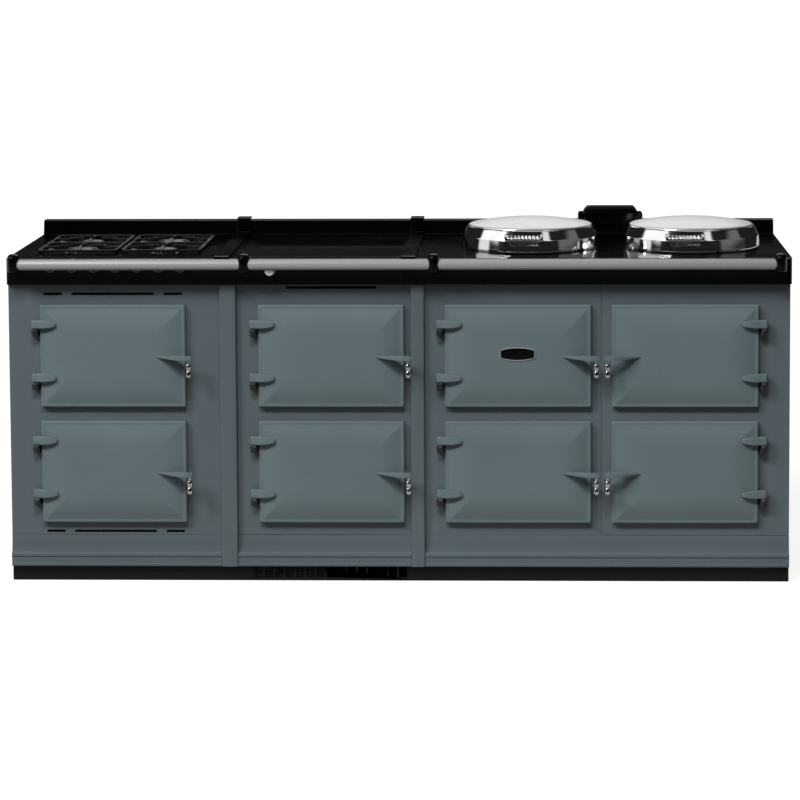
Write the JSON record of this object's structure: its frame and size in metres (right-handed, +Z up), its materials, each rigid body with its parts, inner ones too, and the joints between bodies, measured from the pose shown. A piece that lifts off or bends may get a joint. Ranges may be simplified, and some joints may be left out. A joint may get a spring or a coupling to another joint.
{
  "type": "cast iron range cooker",
  "caption": "Enamelled cast iron range cooker with side-hinged oven doors, a gas hob, a warming plate, domed hotplate lids, a front handrail and a flue cowl.",
  "frame": {"origin": "on the floor under the middle of the cabinet's width and depth", "axes": "+X to the right seen from the front, +Y to the back, +Z up"},
  "size_m": [2.08, 0.761, 0.951],
  "materials": {
    "enamel": "vitreous enamel, slate blue-grey, glossy",
    "black_enamel": "vitreous enamel, black, high gloss",
    "cast_iron": "matt black cast iron",
    "oven_iron": "bare cast iron oven interior",
    "chrome": "polished chrome plate",
    "satin_chrome": "satin chrome, circular brushed",
    "brushed_steel": "brushed stainless steel",
    "black_glass": "black glass ceramic",
    "sheet_black": "black painted sheet steel",
    "plinth_black": "dark brown-black paint",
    "knob_black": "black phenolic knob"
  },
  "bodies": {
    "range": {"plinth": "plinth_black", "plinth_grille": "plinth_black", "moulding_left": "enamel", "moulding_middle": "enamel", "moulding_right": "enamel", "post_left": "enamel", "post_right": "enamel", "front_plate_left": "enamel", "front_plate_middle": "enamel", "front_plate_right_a": "enamel", "front_plate_right_b": "enamel", "oven_casting_left": "oven_iron", "oven_casting_middle": "oven_iron", "oven_casting_right_a": "oven_iron", "oven_casting_right_b": "oven_iron", "cabinet_shell": "sheet_black", "top_plate_left": "black_enamel", "top_plate_middle": "black_enamel", "top_plate_right": "black_enamel", "joint_strip_left": "black_enamel", "joint_strip_right": "black_enamel", "handrail": "brushed_steel", "hotplate_left": "cast_iron", "hotplate_right": "cast_iron", "flue_cowl": "black_enamel", "warming_plate": "black_glass", "burner_left_front": "satin_chrome", "burner_left_back": "satin_chrome", "burner_right_front": "satin_chrome", "burner_right_back": "satin_chrome"},
    "door_left_upper_body": {"door_left_upper": "enamel", "grip_left_upper": "chrome"},
    "door_left_lower_body": {"door_left_lower": "enamel", "grip_left_lower": "chrome"},
    "door_middle_upper_body": {"door_middle_upper": "enamel", "grip_middle_upper": "chrome"},
    "door_middle_lower_body": {"door_middle_lower": "enamel", "grip_middle_lower": "chrome"},
    "door_right_a_upper_body": {"door_right_a_upper": "enamel", "grip_right_a_upper": "chrome"},
    "door_right_a_lower_body": {"door_right_a_lower": "enamel", "grip_right_a_lower": "chrome"},
    "door_right_b_upper_body": {"door_right_b_upper": "enamel", "grip_right_b_upper": "chrome"},
    "door_right_b_lower_body": {"door_right_b_lower": "enamel", "grip_right_b_lower": "chrome"},
    "lid_left_body": {"lid_left": "satin_chrome", "lid_handle_left": "chrome"},
    "lid_right_body": {"lid_right": "satin_chrome", "lid_handle_right": "chrome"},
    "pan_support_left_body": {"pan_support_left": "cast_iron"},
    "pan_support_right_body": {"pan_support_right": "cast_iron"},
    "hob_knob_1_body": {"hob_knob_1": "knob_black"},
    "hob_knob_2_body": {"hob_knob_2": "knob_black"},
    "hob_knob_3_body": {"hob_knob_3": "knob_black"},
    "hob_knob_4_body": {"hob_knob_4": "knob_black"},
    "hob_knob_5_body": {"hob_knob_5": "knob_black"},
    "hob_knob_6_body": {"hob_knob_6": "knob_black"},
    "hob_knob_7_body": {"hob_knob_7": "knob_black"},
    "thermostat_knob_body": {"thermostat_knob": "chrome"}
  },
  "joints": [
    {"name": "door_left_upper_hinge", "type": "hinge", "parent": "range", "child": "door_left_upper_body", "pos_m": [-0.963, -0.355, 0.608], "axis": [0, 0, -1], "range_deg": [0, 110]},
    {"name": "door_left_lower_hinge", "type": "hinge", "parent": "range", "child": "door_left_lower_body", "pos_m": [-0.963, -0.355, 0.297], "axis": [0, 0, -1], "range_deg": [0, 110]},
    {"name": "door_middle_upper_hinge", "type": "hinge", "parent": "range", "child": "door_middle_upper_body", "pos_m": [-0.383, -0.355, 0.608], "axis": [0, 0, -1], "range_deg": [0, 110]},
    {"name": "door_middle_lower_hinge", "type": "hinge", "parent": "range", "child": "door_middle_lower_body", "pos_m": [-0.383, -0.355, 0.297], "axis": [0, 0, -1], "range_deg": [0, 110]},
    {"name": "door_right_a_upper_hinge", "type": "hinge", "parent": "range", "child": "door_right_a_upper_body", "pos_m": [0.112, -0.355, 0.608], "axis": [0, 0, -1], "range_deg": [0, 110]},
    {"name": "door_right_a_lower_hinge", "type": "hinge", "parent": "range", "child": "door_right_a_lower_body", "pos_m": [0.112, -0.355, 0.297], "axis": [0, 0, -1], "range_deg": [0, 110]},
    {"name": "door_right_b_upper_hinge", "type": "hinge", "parent": "range", "child": "door_right_b_upper_body", "pos_m": [0.965, -0.355, 0.608], "axis": [0, 0, 1], "range_deg": [0, 110]},
    {"name": "door_right_b_lower_hinge", "type": "hinge", "parent": "range", "child": "door_right_b_lower_body", "pos_m": [0.965, -0.355, 0.297], "axis": [0, 0, 1], "range_deg": [0, 110]},
    {"name": "lid_left_hinge", "type": "hinge", "parent": "range", "child": "lid_left_body", "pos_m": [0.351, 0.166, 0.912], "axis": [-1, 0, 0], "range_deg": [0, 95]},
    {"name": "lid_right_hinge", "type": "hinge", "parent": "range", "child": "lid_right_body", "pos_m": [0.789, 0.166, 0.912], "axis": [-1, 0, 0], "range_deg": [0, 95]},
    {"name": "pan_support_left_lift", "type": "slide", "parent": "range", "child": "pan_support_left_body", "axis": [0, 0, 1], "range_m": [0, 0.08]},
    {"name": "pan_support_right_lift", "type": "slide", "parent": "range", "child": "pan_support_right_body", "axis": [0, 0, 1], "range_m": [0, 0.08]},
    {"name": "hob_knob_1_turn", "type": "hinge", "parent": "range", "child": "hob_knob_1_body", "pos_m": [-0.9192, -0.359, 0.849], "axis": [0, -1, 0], "range_deg": [0, 210]},
    {"name": "hob_knob_2_turn", "type": "hinge", "parent": "range", "child": "hob_knob_2_body", "pos_m": [-0.8618, -0.359, 0.849], "axis": [0, -1, 0], "range_deg": [0, 210]},
    {"name": "hob_knob_3_turn", "type": "hinge", "parent": "range", "child": "hob_knob_3_body", "pos_m": [-0.8044, -0.359, 0.849], "axis": [0, -1, 0], "range_deg": [0, 210]},
    {"name": "hob_knob_4_turn", "type": "hinge", "parent": "range", "child": "hob_knob_4_body", "pos_m": [-0.747, -0.359, 0.849], "axis": [0, -1, 0], "range_deg": [0, 210]},
    {"name": "hob_knob_5_turn", "type": "hinge", "parent": "range", "child": "hob_knob_5_body", "pos_m": [-0.6896, -0.359, 0.849], "axis": [0, 1, 0], "range_deg": [0, 270]},
    {"name": "hob_knob_6_turn", "type": "hinge", "parent": "range", "child": "hob_knob_6_body", "pos_m": [-0.6322, -0.359, 0.849], "axis": [0, 1, 0], "range_deg": [0, 270]},
    {"name": "hob_knob_7_turn", "type": "hinge", "parent": "range", "child": "hob_knob_7_body", "pos_m": [-0.5748, -0.359, 0.849], "axis": [0, 1, 0], "range_deg": [0, 270]},
    {"name": "thermostat_knob_turn", "type": "hinge", "parent": "range", "child": "thermostat_knob_body", "pos_m": [-0.338, -0.359, 0.836], "axis": [0, 1, 0], "range_deg": [0, 270]}
  ]
}
